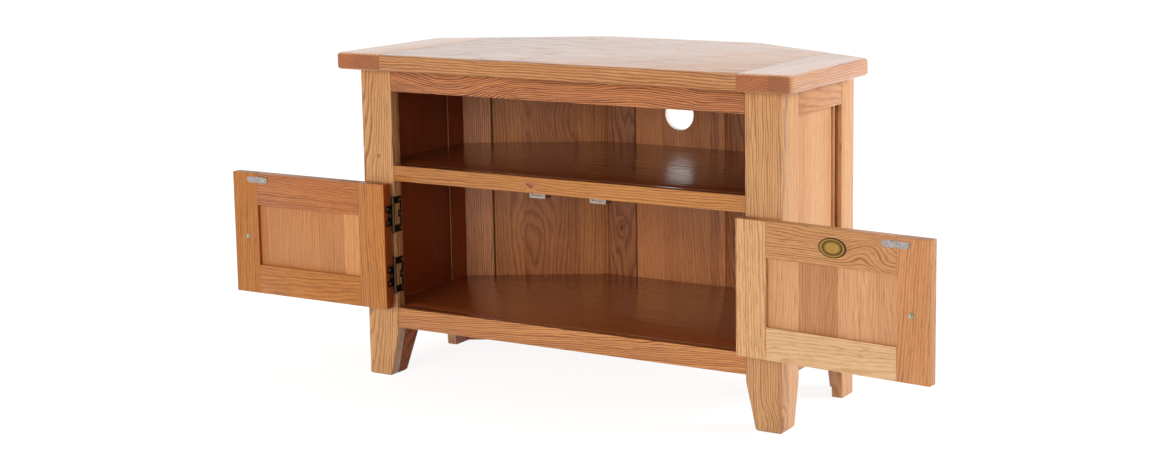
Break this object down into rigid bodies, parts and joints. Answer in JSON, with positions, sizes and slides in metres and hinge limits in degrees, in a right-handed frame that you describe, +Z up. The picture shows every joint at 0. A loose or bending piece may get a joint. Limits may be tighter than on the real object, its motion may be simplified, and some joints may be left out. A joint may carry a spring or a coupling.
{
  "type": "corner television cabinet",
  "caption": "Oak corner television cabinet: an open shelf bay over a cupboard with framed doors, standing open, under a top cut back to fit the corner.",
  "frame": {"origin": "on the floor under the middle of the cabinet: midway across its front, and midway between the back edge of the top and the furthest forward corner of the open right door, which is 186.087 mm behind the fronts of the front legs", "axes": "+X to the right along the front as someone facing the cabinet sees it, +Y back towards the corner of the room, +Z up"},
  "size_m": [1.4019, 0.4977, 0.59],
  "materials": {
    "oak_top": "satin lacquered oak, pale where the light glances off it",
    "oak_cleat": "satin lacquered oak, grain front to back, end grain on the front edge",
    "oak_leg": "satin lacquered oak, tan gold, straight grain",
    "oak_side": "satin lacquered oak, light",
    "oak_rail": "satin lacquered oak with cathedral grain",
    "oak_shelf": "semi-gloss lacquered oak in shade",
    "oak_back": "satin lacquered oak boards of mixed colour",
    "oak_door": "satin lacquered oak",
    "oak_door_panel": "satin lacquered oak, upright grain",
    "dark_metal": "dark bronze plating",
    "grey_steel": "dull zinc-plated steel",
    "plaque_metal": "bare aged brass"
  },
  "bodies": {
    "cabinet": {"top_panel": "oak_top", "top_cleat_left": "oak_cleat", "top_cleat_right": "oak_cleat", "front_leg_left": "oak_leg", "front_leg_right": "oak_leg", "front_leg_side_left": "oak_side", "front_leg_side_right": "oak_side", "front_foot_block_left": "oak_leg", "front_foot_block_right": "oak_leg", "rear_leg_left": "oak_side", "rear_leg_right": "oak_side", "rear_leg_wing_left": "oak_leg", "rear_leg_wing_right": "oak_leg", "front_top_rail": "oak_rail", "shelf_front_edge": "oak_rail", "front_bottom_rail": "oak_rail", "shelf_panel": "oak_shelf", "bottom_panel": "oak_shelf", "side_top_rail_left": "oak_side", "side_top_rail_right": "oak_side", "side_bottom_rail_left": "oak_side", "side_bottom_rail_right": "oak_side", "side_panel_left": "oak_side", "side_panel_right": "oak_side", "angled_back_left": "oak_back", "angled_back_right": "oak_back", "back_board_left": "oak_back", "back_board_centre": "oak_back", "back_board_right": "oak_back", "hinge_frame_leaf_upper_left": "dark_metal", "hinge_frame_leaf_lower_left": "dark_metal", "hinge_frame_leaf_upper_right": "dark_metal", "hinge_frame_leaf_lower_right": "dark_metal", "hinge_pin_upper_left": "dark_metal", "hinge_pin_lower_left": "dark_metal", "hinge_pin_upper_right": "dark_metal", "hinge_pin_lower_right": "dark_metal", "magnetic_catch_left": "grey_steel", "magnetic_catch_right": "grey_steel"},
    "left_door": {"door_hinge_stile_left": "oak_door", "door_free_stile_left": "oak_door", "door_top_rail_left": "oak_door", "door_bottom_rail_left": "oak_door", "door_panel_left": "oak_door_panel", "knob_left": "oak_door", "knob_screw_left": "grey_steel", "strike_plate_left": "grey_steel", "hinge_door_leaf_upper_left": "dark_metal", "hinge_door_leaf_lower_left": "dark_metal"},
    "right_door": {"door_hinge_stile_right": "oak_door", "door_free_stile_right": "oak_door", "door_top_rail_right": "oak_door", "door_bottom_rail_right": "oak_door", "door_panel_right": "oak_door_panel", "knob_right": "oak_door", "knob_screw_right": "grey_steel", "strike_plate_right": "grey_steel", "oval_plaque": "plaque_metal", "hinge_door_leaf_upper_right": "dark_metal", "hinge_door_leaf_lower_right": "dark_metal"}
  },
  "joints": [
    {"name": "left_door_hinge", "type": "hinge", "parent": "cabinet", "child": "left_door", "pos_m": [-0.352, -0.19109, 0.2445], "axis": [0, 0, 1], "range_deg": [0, 180]},
    {"name": "right_door_hinge", "type": "hinge", "parent": "cabinet", "child": "right_door", "pos_m": [0.352, -0.19109, 0.2445], "axis": [0, 0, 1], "range_deg": [-174.6, 5.4]}
  ]
}
